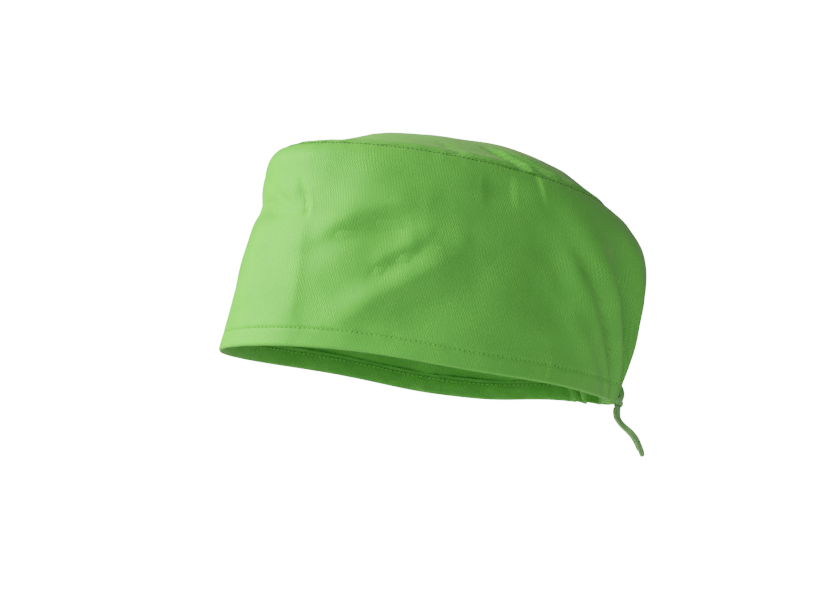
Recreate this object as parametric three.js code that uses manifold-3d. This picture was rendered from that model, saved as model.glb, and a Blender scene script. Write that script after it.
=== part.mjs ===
// A surgical cap of woven cloth, tied at the nape, in the form that it has on a head.
// Units are millimetres. +Z is up, the front faces -Y and the wearer's left is +X.
// The origin is the middle of the opening that the head goes into.

import * as THREE from 'three';
import { mergeVertices } from 'three/addons/utils/BufferGeometryUtils.js';
import Module from 'manifold-3d';

// Driving sizes

const RIM_TILT = 7.5;           // degrees that the rim slopes down to the nape
const WIDEST_Y = 18;            // the cap is widest a little behind its middle
const CLOTH = 1.2;              // wall of the band and of the top panel
const HEM_HEIGHT = 10.4;        // casing that the tie runs in
const HEM_OUT = 0.4;            // the casing stands this much proud of the band
const HEM_IN = 1.8;             // and reaches this far in
const HEM_FOLD = 1.0;           // height over which its folded edge is rounded
const GAP = 0.3;                // left between pieces that meet
const BAND_LIFT = 0.4;          // the band starts this much above the casing

// Outlines of the wall at shares of its height, from the rim up to the crown seam.
// front, back and side are distances from the origin, and a power over 2 squares the outline.
const OUTLINES = [
  { share: 0.00, front: 114.5, back: 114.0, side: 78.5, frontPower: 2.05, backPower: 2.00 },
  { share: 0.12, front: 112.5, back: 118.0, side: 79.5, frontPower: 2.10, backPower: 2.00 },
  { share: 0.40, front: 109.0, back: 123.0, side: 80.0, frontPower: 2.20, backPower: 2.10 },
  { share: 0.62, front: 104.5, back: 124.5, side: 79.0, frontPower: 2.25, backPower: 2.20 },
  { share: 0.80, front: 101.5, back: 120.5, side: 76.5, frontPower: 2.30, backPower: 2.30 },
  { share: 0.93, front: 100.0, back: 110.0, side: 73.0, frontPower: 2.40, backPower: 2.35 },
  { share: 1.00, front: 92.0, back: 96.0, side: 69.0, frontPower: 2.40, backPower: 2.35 },
];

// Height of the crown seam above the rim: an arch that falls to the front and to the back
const SEAM = { peakY: -36, peak: 118.5, frontY: -92, front: 115.5, backY: 96, back: 106.0 };

// The rim isn't quite flat. Each row is a wave round it, with its height and where it peaks.
const RIM_WAVES = [
  { waves: 2, height: 1.0, peakAngle: 45 },
  { waves: 3, height: 0.7, peakAngle: 78 },
  { waves: 4, height: 1.1, peakAngle: 38 },
];

// The top panel rises above the seam, more at the back where it is slack
const DOME = { front: 7.5, back: 19.0, fromY: -70, toY: 0, middleY: -2, power: 2.6 };

// Slack folds of the wall, each along a line from one angle and height share to another.
// Angles are degrees round the head from the front toward +X, and a minus depth is a hollow.
const FOLDS = [
  { place: 'dent over the brow', angle: 6, share: 0.70, toAngle: 20, toShare: 0.66, half: 10, depth: -2.6 },
  { place: 'pucker beside it', angle: 22, share: 0.78, toAngle: 26, toShare: 0.62, half: 5, depth: -1.8 },
  { place: 'swell under the seam', angle: 2, share: 0.90, toAngle: 28, toShare: 0.92, half: 9, depth: 1.0 },
  { place: 'front corner', angle: 24, share: 0.05, toAngle: 24, toShare: 0.50, half: 13, depth: 1.5 },
  { place: 'hollow behind it', angle: 35, share: 0.53, toAngle: 52, toShare: 0.69, half: 11, depth: -2.8 },
  { place: 'short hollow', angle: 50, share: 0.41, toAngle: 64, toShare: 0.59, half: 8, depth: -2.0 },
  { place: 'slanting fold', angle: 46, share: 0.24, toAngle: 75, toShare: 0.60, half: 9, depth: 2.6 },
  { place: 'hollow under it', angle: 48, share: 0.17, toAngle: 77, toShare: 0.51, half: 10, depth: -2.8 },
  { place: 'slack over the ear', angle: 90, share: 0.37, toAngle: 106, toShare: 0.52, half: 26, depth: -4.0 },
  { place: 'hollow at the seam', angle: 80, share: 0.85, toAngle: 98, toShare: 0.88, half: 10, depth: -1.8 },
  { place: 'right brow swell', angle: -28, share: 0.25, toAngle: -40, toShare: 0.60, half: 19, depth: 1.5 },
  { place: 'right long fold', angle: -56, share: 0.26, toAngle: -88, toShare: 0.55, half: 10, depth: -2.8 },
  { place: 'fold below it', angle: -70, share: 0.20, toAngle: -102, toShare: 0.34, half: 9, depth: 1.9 },
  { place: 'right slack', angle: -92, share: 0.44, toAngle: -110, toShare: 0.62, half: 22, depth: -3.2 },
];
const MM_PER_DEGREE = 1.65;     // along the wall, for the width of a fold
const WALL_LENGTH = 116;        // up the wall, for the same

// Gathers that fan out from the knot. fan counts ridges out from the nape to each side,
// and depth is how far the cloth sinks there.
const GATHERS = [
  { fan: 0.5, half: 0.34, depth: 3.6 },
  { fan: 1.5, half: 0.36, depth: 6.5 },
  { fan: 2.3, half: 0.26, depth: 1.5 },
];
const FAN = { atRim: 9, growth: 20 };           // degrees from one ridge to the next
const GATHER_FADE = { rim: 0.3, full: 0.2, from: 0.5, gone: 0.9 };

// How finely the cloth is cut into flat faces
const COLUMNS = 88;
const BACK_CROWDING = 0.35;     // columns stand closer at the gathers
const BAND_ROWS = 18;
const SHOULDER_CROWDING = 1.25; // rows stand closer at the shoulder
const DOME_SHARES = [0.95, 0.86, 0.72, 0.52, 0.28];
const NORMAL_STEP = 0.004;      // radians, and share of height, over which a slope is measured

// The knot, and the free ends of the tie as they hang from it
const TIE = { diameter: 3.2, sides: 8, stepDiameters: 2 };
const KNOT = { middle: [0, 119.9, -11.0], radii: [4.8, 3.6, 4.2], turns: 14, bands: 10, stepDiameters: 0.4 };
const KNOT_STRAND = [
  [-1.8, 121.0, -3.6],
  [-0.8, 122.4, -5.2],
  [0.6, 123.2, -8.0],
  [1.0, 122.3, -11.2],
  [0.4, 120.2, -13.2],
];
const NEAR_END_ROUTE = [
  [1.8, 117.6, -15.6],
  [1.9, 117.0, -17.0],
  [2.0, 116.6, -18.6],
  [2.1, 116.6, -20.4],
  [2.1, 116.9, -22.3],
  [2.2, 117.8, -24.2],
  [2.3, 119.2, -26.0],
  [2.4, 120.9, -27.7],
  [2.4, 122.8, -29.2],
  [2.5, 124.6, -30.7],
  [2.5, 126.2, -32.4],
  [2.5, 127.7, -34.3],
  [2.5, 128.9, -36.4],
  [2.5, 129.8, -38.6],
  [2.5, 130.6, -40.8],
  [2.4, 131.3, -42.9],
  [2.3, 131.9, -44.8],
];
const FAR_END_ROUTE = [
  [-1.8, 118.3, -15.6],
  [-2.1, 117.9, -17.1],
  [-2.5, 117.6, -18.8],
  [-3.0, 117.7, -20.6],
  [-3.5, 118.1, -22.4],
  [-4.0, 119.0, -24.2],
  [-4.5, 120.3, -25.9],
  [-4.9, 122.0, -27.5],
  [-5.3, 123.8, -29.0],
  [-5.6, 125.6, -30.6],
  [-5.9, 127.3, -32.4],
  [-6.1, 128.8, -34.5],
  [-6.2, 130.0, -36.7],
  [-6.3, 131.0, -39.0],
  [-6.3, 131.8, -41.3],
];

// Helpers

const radians = (degrees) => THREE.MathUtils.degToRad(degrees);
const rise = (from, to, value) => THREE.MathUtils.smoothstep(value, from, to);
const mix = THREE.MathUtils.lerp;

// One column of the outline table at a share of the height, as a smooth curve through its rows
function outlineSize(column, share) {
  const last = OUTLINES.length - 2;
  let row = 0;
  while (row < last && share >= OUTLINES[row + 1].share) row += 1;
  const slope = (index) => {
    const low = OUTLINES[Math.max(index - 1, 0)];
    const high = OUTLINES[Math.min(index + 1, OUTLINES.length - 1)];
    return (high[column] - low[column]) / (high.share - low.share);
  };
  const low = OUTLINES[row];
  const high = OUTLINES[row + 1];
  const span = high.share - low.share;
  const t = (share - low.share) / span;
  const t2 = t * t;
  const t3 = t2 * t;
  return (2 * t3 - 3 * t2 + 1) * low[column] + (t3 - 2 * t2 + t) * span * slope(row)
    + (3 * t2 - 2 * t3) * high[column] + (t3 - t2) * span * slope(row + 1);
}

// x and y of the smooth outline at an angle, with a little added to its radius
function outlinePoint(angle, share, extra) {
  const sine = Math.sin(angle);
  const cosine = Math.cos(angle);
  const toFront = cosine > 0;
  const length = toFront ? WIDEST_Y + outlineSize('front', share) : outlineSize('back', share) - WIDEST_Y;
  const power = outlineSize(toFront ? 'frontPower' : 'backPower', share);
  const across = Math.abs(sine / outlineSize('side', share)) ** power;
  const along = Math.abs(cosine / length) ** power;
  const radius = (across + along) ** (-1 / power) + extra;
  return [radius * sine, WIDEST_Y - radius * cosine];
}

function seamHeight(y) {
  const end = y < SEAM.peakY ? [SEAM.frontY, SEAM.front] : [SEAM.backY, SEAM.back];
  const reach = (y - SEAM.peakY) / (end[0] - SEAM.peakY);
  return SEAM.peak - (SEAM.peak - end[1]) * reach * reach;
}

function rimHeight(angle) {
  const lift = (wave) => wave.height * Math.cos(wave.waves * (angle - radians(wave.peakAngle)));
  return RIM_WAVES.reduce((sum, wave) => sum + lift(wave), 0);
}

function wallHeight(angle) {
  return seamHeight(outlinePoint(angle, 1, 0)[1]) - rimHeight(angle);
}

// Angle as degrees from -180 to 180, with 0 at the front
function turnedDegrees(angle) {
  return THREE.MathUtils.euclideanModulo(THREE.MathUtils.radToDeg(angle) + 180, 360) - 180;
}

// How far one fold lifts the cloth at a place on the wall
function foldLift(fold, degrees, share) {
  const runX = (fold.toAngle - fold.angle) * MM_PER_DEGREE;
  const runZ = (fold.toShare - fold.share) * WALL_LENGTH;
  const x = (degrees - fold.angle) * MM_PER_DEGREE;
  const z = (share - fold.share) * WALL_LENGTH;
  const along = THREE.MathUtils.clamp((x * runX + z * runZ) / (runX * runX + runZ * runZ), 0, 1);
  const off = Math.hypot(x - along * runX, z - along * runZ) / fold.half;
  return fold.depth * Math.exp(-1.5 * off * off);
}

function gatherSink(degrees, share) {
  const step = FAN.atRim + FAN.growth * share;
  const fan = (180 - Math.abs(degrees)) / step;
  const strength = mix(GATHER_FADE.rim, 1, rise(0, GATHER_FADE.full, share))
    * (1 - rise(GATHER_FADE.from, GATHER_FADE.gone, share));
  const sinks = GATHERS.map((g) => g.depth * Math.exp(-(((fan - g.fan) / g.half) ** 2)));
  return strength * sinks.reduce((sum, sink) => sum + sink, 0);
}

// A point of the cloth's outer face, in the frame of the rim
function clothPoint(angle, share) {
  const degrees = turnedDegrees(angle);
  const lifts = FOLDS.map((fold) => foldLift(fold, degrees, share));
  const relief = lifts.reduce((sum, lift) => sum + lift, 0) - gatherSink(degrees, share);
  const [x, y] = outlinePoint(angle, share, relief);
  return new THREE.Vector3(x, y, rimHeight(angle) + wallHeight(angle) * share);
}

// The face that a surface function shows at a place, moved in by a depth along its normal
function movedIn(surface, angle, share, depth) {
  const point = surface(angle, share);
  if (depth === 0) return point;
  const low = Math.min(share, 1 - NORMAL_STEP);
  const round = surface(angle + NORMAL_STEP, share).sub(surface(angle - NORMAL_STEP, share));
  const up = surface(angle, low + NORMAL_STEP).sub(surface(angle, low));
  const normal = round.cross(up).normalize();
  return point.addScaledVector(normal, -depth);
}

// A point of the top panel: share 1 is the seam and share 0 the middle of the crown
function domePoint(angle, share) {
  const [seamX, seamY] = outlinePoint(angle, 1, 0);
  const x = seamX * share;
  const y = mix(DOME.middleY, seamY, share);
  const swell = mix(DOME.front, DOME.back, rise(DOME.fromY, DOME.toY, y));
  return new THREE.Vector3(x, y, seamHeight(y) + swell * (1 - share ** DOME.power));
}

const columnAngles = Array.from({ length: COLUMNS }, (_, column) => {
  const even = ((column / COLUMNS) * 2 - 1) * Math.PI;
  return even + BACK_CROWDING * Math.sin(even);
});

const ring = (place) => columnAngles.map((angle) => place(angle));

// A closed body from rings of points. Each ring joins the next, the last joins the first,
// or poles close the two ends.
function ringedGeometry(rings, firstPole, lastPole) {
  const points = rings.flat();
  const faces = [];
  const at = (row, column) => row * COLUMNS + (column % COLUMNS);
  const joins = firstPole ? rings.length - 1 : rings.length;
  for (let row = 0; row < joins; row += 1) {
    const next = (row + 1) % rings.length;
    for (let column = 0; column < COLUMNS; column += 1) {
      faces.push(at(row, column), at(row, column + 1), at(next, column + 1));
      faces.push(at(row, column), at(next, column + 1), at(next, column));
    }
  }
  if (firstPole) {
    const first = points.push(firstPole) - 1;
    const last = points.push(lastPole) - 1;
    for (let column = 0; column < COLUMNS; column += 1) {
      faces.push(first, at(0, column + 1), at(0, column));
      faces.push(at(joins, column), at(joins, column + 1), last);
    }
  }
  const geometry = new THREE.BufferGeometry().setFromPoints(points);
  geometry.setIndex(faces);
  geometry.computeVertexNormals();
  return geometry;
}

// A round cord along a smooth curve, with flat ends
function cordGeometry(route, diameter, stepDiameters) {
  const path = new THREE.CatmullRomCurve3(route.map((point) => new THREE.Vector3(...point)));
  const corners = Array.from({ length: TIE.sides }, (_, corner) => {
    const turn = (corner / TIE.sides) * 2 * Math.PI;
    return new THREE.Vector2(Math.cos(turn), Math.sin(turn)).multiplyScalar(diameter / 2);
  });
  const steps = Math.round(path.getLength() / (diameter * stepDiameters));
  return new THREE.ExtrudeGeometry(new THREE.Shape(corners), { steps, extrudePath: path });
}

// Pieces of cloth

// The wall, from the top of the hem to the crown seam
function sideBandGeometry() {
  const rows = Array.from({ length: BAND_ROWS + 1 }, (_, row) => row / BAND_ROWS);
  const shares = rows.map((row) => 1 - (1 - row) ** SHOULDER_CROWDING);
  const wallRing = (up, depth) => ring((angle) => {
    const bottom = (HEM_HEIGHT + BAND_LIFT) / wallHeight(angle);
    return movedIn(clothPoint, angle, mix(bottom, 1, up), depth);
  });
  const outer = shares.map((up) => wallRing(up, 0));
  const inner = shares.map((up) => wallRing(up, CLOTH)).reverse();
  return ringedGeometry([...outer, ...inner]);
}

// The casing: the wall's edge turned up inside, with a rounded fold at the bottom
function hemGeometry() {
  const section = [
    { up: HEM_FOLD, depth: -HEM_OUT },
    { up: HEM_HEIGHT / 2, depth: -HEM_OUT },
    { up: HEM_HEIGHT, depth: -HEM_OUT },
    { up: HEM_HEIGHT, depth: HEM_IN },
    { up: HEM_HEIGHT / 2, depth: HEM_IN },
    { up: HEM_FOLD, depth: HEM_IN },
    { up: 0, depth: (HEM_IN - HEM_OUT) / 2 },
  ];
  return ringedGeometry(section.map(({ up, depth }) => ring(
    (angle) => movedIn(clothPoint, angle, up / wallHeight(angle), depth),
  )));
}

// The crown piece, whose edge stands on the top edge of the wall
function topPanelGeometry() {
  const lifted = new THREE.Vector3(0, 0, GAP);
  const wallTop = (depth) => ring((angle) => movedIn(clothPoint, angle, 1, depth).add(lifted));
  const domeRing = (share, depth) => ring((angle) => movedIn(domePoint, angle, share, -depth));
  const outer = DOME_SHARES.map((share) => domeRing(share, 0));
  const inner = DOME_SHARES.map((share) => domeRing(share, CLOTH)).reverse();
  const pole = domePoint(0, 0);
  const under = pole.clone().setZ(pole.z - CLOTH);
  return ringedGeometry([...inner, wallTop(CLOTH), wallTop(0), ...outer], under, pole);
}

// Pieces of the tie

const wasm = await Module();
wasm.setup();

function solidFrom(geometry) {
  const bare = geometry.clone();
  bare.deleteAttribute('normal');
  bare.deleteAttribute('uv');
  const merged = mergeVertices(bare, 1e-4);
  return new wasm.Manifold(new wasm.Mesh({
    numProp: 3,
    vertProperties: new Float32Array(merged.attributes.position.array),
    triVerts: new Uint32Array(merged.index.array),
  }));
}

function geometryFrom(solid) {
  const mesh = solid.getMesh();
  const geometry = new THREE.BufferGeometry();
  geometry.setAttribute('position', new THREE.BufferAttribute(mesh.vertProperties, 3));
  geometry.setIndex(new THREE.BufferAttribute(mesh.triVerts, 1));
  geometry.computeVertexNormals();
  return geometry;
}

// A drawn-up lump with the strand that comes over it from the casing
function knotGeometry() {
  const lump = new THREE.SphereGeometry(1, KNOT.turns, KNOT.bands);
  lump.scale(...KNOT.radii);
  lump.translate(...KNOT.middle);
  const strand = cordGeometry(KNOT_STRAND, TIE.diameter, KNOT.stepDiameters);
  return geometryFrom(solidFrom(lump).add(solidFrom(strand)));
}

// Assembly

const clothMaterial = new THREE.MeshStandardMaterial({ color: 0x7dbb55, roughness: 0.92, metalness: 0 });
const hemMaterial = new THREE.MeshStandardMaterial({ color: 0x86c25f, roughness: 0.92, metalness: 0 });
const tieMaterial = new THREE.MeshStandardMaterial({ color: 0x5c9a4c, roughness: 0.88, metalness: 0 });

function namedMesh(name, geometry, material) {
  const mesh = new THREE.Mesh(geometry, material);
  mesh.name = name;
  return mesh;
}

const clothPieces = new THREE.Group();
clothPieces.rotation.x = -radians(RIM_TILT);
clothPieces.add(
  namedMesh('side_band', sideBandGeometry(), clothMaterial),
  namedMesh('top_panel', topPanelGeometry(), clothMaterial),
  namedMesh('hem', hemGeometry(), hemMaterial),
);

const tiePieces = new THREE.Group();
tiePieces.add(
  namedMesh('tie_knot', knotGeometry(), tieMaterial),
  namedMesh('tie_end_near', cordGeometry(NEAR_END_ROUTE, TIE.diameter, TIE.stepDiameters), tieMaterial),
  namedMesh('tie_end_far', cordGeometry(FAR_END_ROUTE, TIE.diameter, TIE.stepDiameters), tieMaterial),
);

const group = new THREE.Group();
group.add(clothPieces, tiePieces);

export default group;
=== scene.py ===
# %% [markdown]
# # A cloth surgical cap
#
# The cap is a tall band of green twill round the head, a domed top panel sewn to it, a stitched
# hem and a narrow tie knotted at the nape. The measured frame already says where each piece is.
# This script gives the pieces their cloth: folds, gathers, seams, stitches and weave.

# %% Load the frame
import math

import bpy
import numpy as np
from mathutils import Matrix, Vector


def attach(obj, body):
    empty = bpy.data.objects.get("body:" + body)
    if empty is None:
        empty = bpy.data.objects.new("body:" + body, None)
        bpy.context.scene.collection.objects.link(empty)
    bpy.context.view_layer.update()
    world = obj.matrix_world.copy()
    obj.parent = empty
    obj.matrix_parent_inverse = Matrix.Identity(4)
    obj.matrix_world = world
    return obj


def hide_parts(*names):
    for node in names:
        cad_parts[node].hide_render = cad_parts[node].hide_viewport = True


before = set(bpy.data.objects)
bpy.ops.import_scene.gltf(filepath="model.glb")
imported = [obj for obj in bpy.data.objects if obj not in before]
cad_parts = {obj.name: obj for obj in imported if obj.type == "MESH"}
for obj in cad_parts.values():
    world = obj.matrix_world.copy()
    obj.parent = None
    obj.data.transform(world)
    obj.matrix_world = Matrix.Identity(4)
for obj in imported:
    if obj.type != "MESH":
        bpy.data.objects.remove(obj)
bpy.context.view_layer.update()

MM = 0.001
print("nodes in the frame:", sorted(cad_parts))

# %% [markdown]
# ## The camera
#
# The cap is seen from its left side and a little from below, through a long lens. A long lens
# keeps the sides of the cap nearly parallel. The camera could be turned by three angles, but it
# is easier to place it by compass and height and then point it at a spot on the cap.

# %% Camera
IMAGE_WIDTH = 840
PIXEL_SIZE = 0.57 * MM          # of one pixel at the cap
CAMERA_DISTANCE = 1.5
CAMERA_COMPASS = 79.0           # degrees from the front of the cap toward its left side
CAMERA_RISE = -4.0              # degrees above the rim, so this is below it
CAMERA_AIM = Vector((3.2, 0.8, 43.4)) * MM


def seen_from(compass, rise, distance):
    """The place at a distance from the origin, by compass and height in degrees."""
    across = math.cos(math.radians(rise))
    return distance * Vector((math.sin(math.radians(compass)) * across,
                              -math.cos(math.radians(compass)) * across,
                              math.sin(math.radians(rise))))


def pointed(obj, place, aim):
    """Puts a camera or a light at a place and points it at another."""
    obj.location = place
    obj.rotation_euler = (aim - place).to_track_quat("-Z", "Y").to_euler()
    bpy.context.scene.collection.objects.link(obj)
    return obj


camera = bpy.data.objects.new("camera", bpy.data.cameras.new("camera"))
camera.data.sensor_width = 36.0
camera.data.lens = 36.0 * CAMERA_DISTANCE / (PIXEL_SIZE * IMAGE_WIDTH)
pointed(camera, seen_from(CAMERA_COMPASS, CAMERA_RISE, CAMERA_DISTANCE), CAMERA_AIM)
bpy.context.scene.camera = camera
print(f"lens {camera.data.lens:.1f} mm")

# %% [markdown]
# ## Helpers for meshes
#
# Cloth and tape are both grids here: rows of points that join into faces. One helper turns such
# a grid into a mesh, closes it round, and lays out its UV map in metres of cloth. The UV map is
# what lets the weave follow the cloth instead of running straight through it. Two more helpers
# make and join the nodes that the materials and the sewing need.

# %% Meshes from grids of points
def grid_mesh(name, rows, uv_rows, caps=False):
    """A closed mesh from rows of points in millimetres. The columns join round. The rows join
    round too, unless caps closes the two ends. uv_rows has one column more than rows."""
    rows = np.asarray(rows, float)
    count, columns, _ = rows.shape
    across = np.arange(columns)
    after = (across + 1) % columns
    faces, corners = [], []
    for row in range(count - 1 if caps else count):
        below, above = row, (row + 1) % count
        quads = np.stack([below * columns + across, below * columns + after,
                          above * columns + after, above * columns + across], 1)
        places = np.stack([below * (columns + 1) + across, below * (columns + 1) + across + 1,
                           above * (columns + 1) + across + 1, above * (columns + 1) + across], 1)
        faces += quads.tolist()
        corners.append(places.reshape(-1))
    if caps:
        first, last = list(range(columns))[::-1], list(range((count - 1) * columns, count * columns))
        faces += [first, last]
        corners += [np.arange(columns)[::-1], (count - 1) * (columns + 1) + np.arange(columns)]
    mesh = bpy.data.meshes.new(name)
    mesh.from_pydata((rows.reshape(-1, 3) * MM).tolist(), [], faces)
    uv = np.asarray(uv_rows, float).reshape(-1, 2)[np.concatenate(corners)] * MM
    layer = mesh.uv_layers.new(name="cloth")
    layer.data.foreach_set("uv", uv.reshape(-1).astype(np.float32))
    mesh.shade_smooth()
    mesh.validate()
    return mesh


def shown(name, mesh, material):
    """A new object at the origin with one material."""
    obj = bpy.data.objects.new(name, mesh)
    mesh.materials.append(material)
    bpy.context.scene.collection.objects.link(obj)
    return obj


# %% Nodes and their links
def added(tree, kind, inputs=None, **settings):
    """A new node. settings are the node's own, and inputs are constants by name or number."""
    node = tree.nodes.new(kind)
    for key, value in settings.items():
        setattr(node, key, value)
    for key, value in (inputs or {}).items():
        node.inputs[key].default_value = value
    return node


def links(tree, *pairs):
    for start, end in pairs:
        tree.links.new(start, end)


# %% [markdown]
# ## The cloth and the thread, as materials
#
# The cap is twill: the weft passes over two warp threads and steps one along in each row, so
# slanting ridges run over the cloth. An image of cloth could be pasted on, but two crossed waves
# on the UV map give the same ridges at any size. One wave makes the ridges and the other cuts
# them into threads. A little noise keeps both from looking like a machine's drawing.

# %% Colours and weave
WALE = 1.25             # mm from one slanting ridge to the next
THREAD = 1.6            # mm from one thick thread to the next
TWILL_SLANT = 108.0     # degrees that the ridges climb
THREAD_SLANT = 68.0
TWILL_DEPTH = 0.16
TAPE_THREAD = 0.7
TAPE_DEPTH = 0.10
SECOND_RIDGES = 0.7     # share of the crossing threads in the relief
RELIEF_STRENGTH = 0.62
PATCH_SCALE = 0.05      # of the patches, for each mm, in which the ridges show more or less
PATCH_RANGE = (0.45, 1.0)
FLECK_SCALE = 0.8
FLECK_RANGE = (0.35, 0.85)
NOISE_RANGE = (0.3, 0.7)                # most of a noise texture's values
WAVE_PERIOD = 2 * math.pi / 20          # of a wave texture at a scale of 1

# The cloth's colour in the furrows and on the ridges of the weave: the step between them is partly the
# twill's own threads and partly painted shade in the furrows.
GREEN_FURROWS_WEAVE_AND_SHADE = (0.052, 0.300, 0.013)
GREEN_RIDGES_WEAVE_AND_LIT = (0.120, 0.480, 0.040)
# The tape's darker furrows and lighter ridges: partly its weave, partly painted shade.
TIE_FURROWS_WEAVE_AND_SHADE = (0.060, 0.220, 0.036)
TIE_RIDGES_WEAVE_AND_LIT = (0.280, 0.560, 0.190)
THREAD_GREEN = (0.170, 0.500, 0.080)
# A darker copy of the thread for the crown seam: painted shade of its groove.
CROWN_THREAD_SHADED = (0.070, 0.330, 0.022)
# Almost black green for the short sunk stitches: painted shade at the needle holes.
HOLE_SHADE_GREEN = (0.012, 0.090, 0.004)
THREAD_GLOSS = 0.12
CLOTH_SURFACE = {
    "Roughness": 0.65, "Specular IOR Level": 0.46,
    "Sheen Weight": 0.12, "Sheen Roughness": 0.6, "Sheen Tint": (1.0, 0.92, 0.68, 1),
}


# %% Nodes of a weave
def cloth_place(tree, slant):
    """The place on the cloth in mm, by the UV map named cloth, turned by a slant in degrees."""
    uv = added(tree, "ShaderNodeUVMap", uv_map="cloth")
    turned = added(tree, "ShaderNodeMapping",
                   {"Scale": (1 / MM, 1 / MM, 1), "Rotation": (0, 0, math.radians(slant))})
    links(tree, (uv.outputs["UV"], turned.inputs["Vector"]))
    return turned.outputs["Vector"]


def cloudy(tree, scale, values):
    """Noise over the cloth, spread over a range of values."""
    cloud = added(tree, "ShaderNodeTexNoise", {"Scale": scale, "Detail": 2.0})
    spread = added(tree, "ShaderNodeMapRange", {"From Min": NOISE_RANGE[0], "From Max": NOISE_RANGE[1],
                                                "To Min": values[0], "To Max": values[1]})
    links(tree, (cloth_place(tree, 0), cloud.inputs["Vector"]),
          (cloud.outputs["Fac"], spread.inputs["Value"]))
    return spread.outputs["Result"]


def ridges(tree, size, slant, wander):
    """Ridges over the cloth, from their size in mm, slant in degrees and unevenness."""
    wave = added(tree, "ShaderNodeTexWave", {"Scale": WAVE_PERIOD / size, "Distortion": wander,
                                             "Detail": 1.0, "Detail Scale": 1.5}, bands_direction="Y")
    links(tree, (cloth_place(tree, slant), wave.inputs["Vector"]))
    return wave.outputs["Fac"]


def combined(tree, operation, *values):
    """Outputs and constant numbers, put together."""
    node = added(tree, "ShaderNodeMath", operation=operation)
    for socket, value in zip(node.inputs, values):
        if isinstance(value, float):
            socket.default_value = value
        else:
            links(tree, (value, socket))
    return node.outputs["Value"]


# %% Materials
def painted(name, values):
    """A new material, and its surface with inputs set by name."""
    material = bpy.data.materials.new(name)
    material.use_nodes = True
    surface = material.node_tree.nodes["Principled BSDF"]
    for key, value in values.items():
        surface.inputs[key].default_value = value
    return material, surface


def woven(name, low, high, waves, depth):
    """A matt woven cloth. waves holds the size, slant and unevenness of its two sets of ridges,
    and depth is their relief in mm. low and high are its colours in the furrows and on the ridges;
    the step between them is partly the weave's own and partly painted shade in the furrows."""
    material, shader = painted(name, CLOTH_SURFACE)
    tree = material.node_tree
    first, second = [ridges(tree, *wave) for wave in waves]
    relief = combined(tree, "MULTIPLY_ADD", second, SECOND_RIDGES, first)
    relief = combined(tree, "MULTIPLY", relief, cloudy(tree, PATCH_SCALE, PATCH_RANGE))
    # The colour follows the relief, darker in the furrows: partly the weave's own threads, partly painted
    # shade.
    weave_shade_and_flecks = combined(tree, "MULTIPLY", relief, cloudy(tree, FLECK_SCALE, FLECK_RANGE))
    bump = added(tree, "ShaderNodeBump", {"Strength": RELIEF_STRENGTH, "Distance": depth * MM})
    colour = added(tree, "ShaderNodeMix", {"A": (*low, 1), "B": (*high, 1)}, data_type="RGBA")
    links(tree, (relief, bump.inputs["Height"]), (bump.outputs["Normal"], shader.inputs["Normal"]),
          (weave_shade_and_flecks, colour.inputs["Factor"]), (colour.outputs["Result"], shader.inputs["Base Color"]))
    return material


def one_colour(name, colour, roughness=0.8):
    """A material of one colour with little gloss."""
    return painted(name, {"Base Color": (*colour, 1), "Roughness": roughness,
                          "Specular IOR Level": THREAD_GLOSS})[0]


cap_twill = woven("cap_twill", GREEN_FURROWS_WEAVE_AND_SHADE, GREEN_RIDGES_WEAVE_AND_LIT,
                  ((WALE, TWILL_SLANT, 0.6), (THREAD, THREAD_SLANT, 0.8)), TWILL_DEPTH)
tie_weave = woven("tie_weave", TIE_FURROWS_WEAVE_AND_SHADE, TIE_RIDGES_WEAVE_AND_LIT,
                  ((TAPE_THREAD, 0.0, 0.4), (TAPE_THREAD, 90.0, 0.4)), TAPE_DEPTH)
stitch_thread = one_colour("stitch_thread", THREAD_GREEN)
# The crown's darker thread is painted shade of the seam groove.
crown_thread_shaded = one_colour("crown_thread_shaded", CROWN_THREAD_SHADED)
# Painted shade: the near-black material of the sunk stitches at the needle holes.
needle_hole_shade = one_colour("needle_hole_shade", HOLE_SHADE_GREEN, roughness=1.0)
print("materials:", [m.name for m in bpy.data.materials])

# %% [markdown]
# ## The free ends of the tie
#
# The tie is a narrow folded tape. Its two ends hang from the knot, swing away from the neck and
# drop. A curve with a bevel would give a round cord, so the tape is swept by hand: a flat
# section with soft corners moves along the route and turns a little as it goes, because a
# knotted tape never hangs straight.

# %% Sweeping a tape along a route
TIE_WIDTH = 3.2
TIE_THICKNESS = 1.9
SECTION_POINTS = 20
SECTION_POWER = 0.7             # below 1, the section is fuller than an oval
SECTION_DENT = (0.22, 0.16)     # depth and half width of a dent along it, shares of its two sizes
STEPS_PER_POINT = 5


def cubic(t, start, end, start_slope, end_slope):
    """The smooth curve between two places, at shares t of the way."""
    return ((2 * t**3 - 3 * t**2 + 1) * start + (t**3 - 2 * t**2 + t) * start_slope
            + (3 * t**2 - 2 * t**3) * end + (t**3 - t**2) * end_slope)


def smooth_route(points):
    """More points along a smooth curve through the given ones."""
    points = np.asarray(points, float)
    slopes = np.gradient(points, axis=0)
    t = np.linspace(0, 1, STEPS_PER_POINT, endpoint=False)[:, None]
    spans = [cubic(t, points[i], points[i + 1], slopes[i], slopes[i + 1])
             for i in range(len(points) - 1)]
    return np.concatenate([*spans, points[-1:]])


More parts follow.
